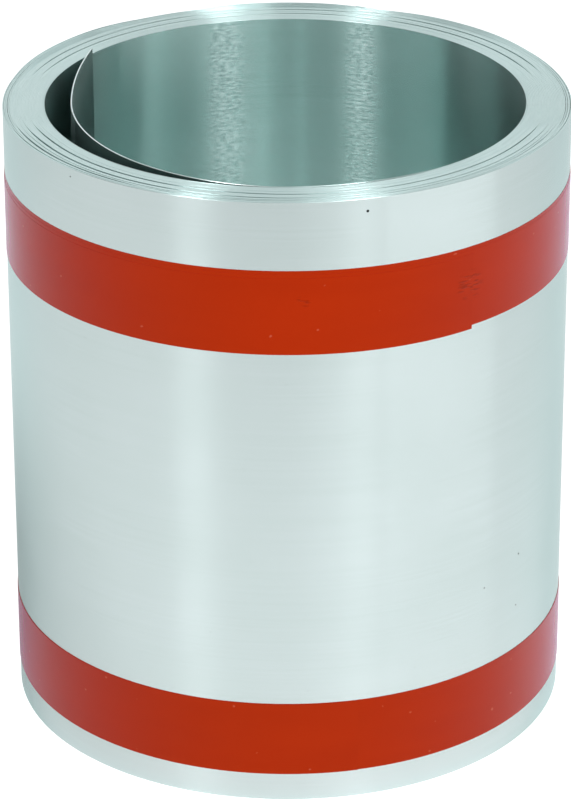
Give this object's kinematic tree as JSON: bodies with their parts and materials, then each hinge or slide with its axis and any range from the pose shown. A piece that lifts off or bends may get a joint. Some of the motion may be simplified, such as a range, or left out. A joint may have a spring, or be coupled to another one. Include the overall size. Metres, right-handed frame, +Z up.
{
  "type": "roll of galvanized flashing",
  "caption": "Roll of flat galvanized steel flashing standing on its end, with an open bore, a loose inner end and bands of red tape round the outside.",
  "frame": {"origin": "centre of the lower end, on the roll's axis", "axes": "+Z up the roll's axis, -Y towards the side that the picture shows"},
  "size_m": [0.1807, 0.1808, 0.205],
  "materials": {
    "galvanized_steel": "mill zinc coating, satin with fine rolling streaks",
    "red_tape": "glossy packing tape"
  },
  "bodies": {
    "root": {"flashing_roll": "galvanized_steel", "upper_tape": "red_tape", "lower_tape": "red_tape"}
  },
  "joints": []
}
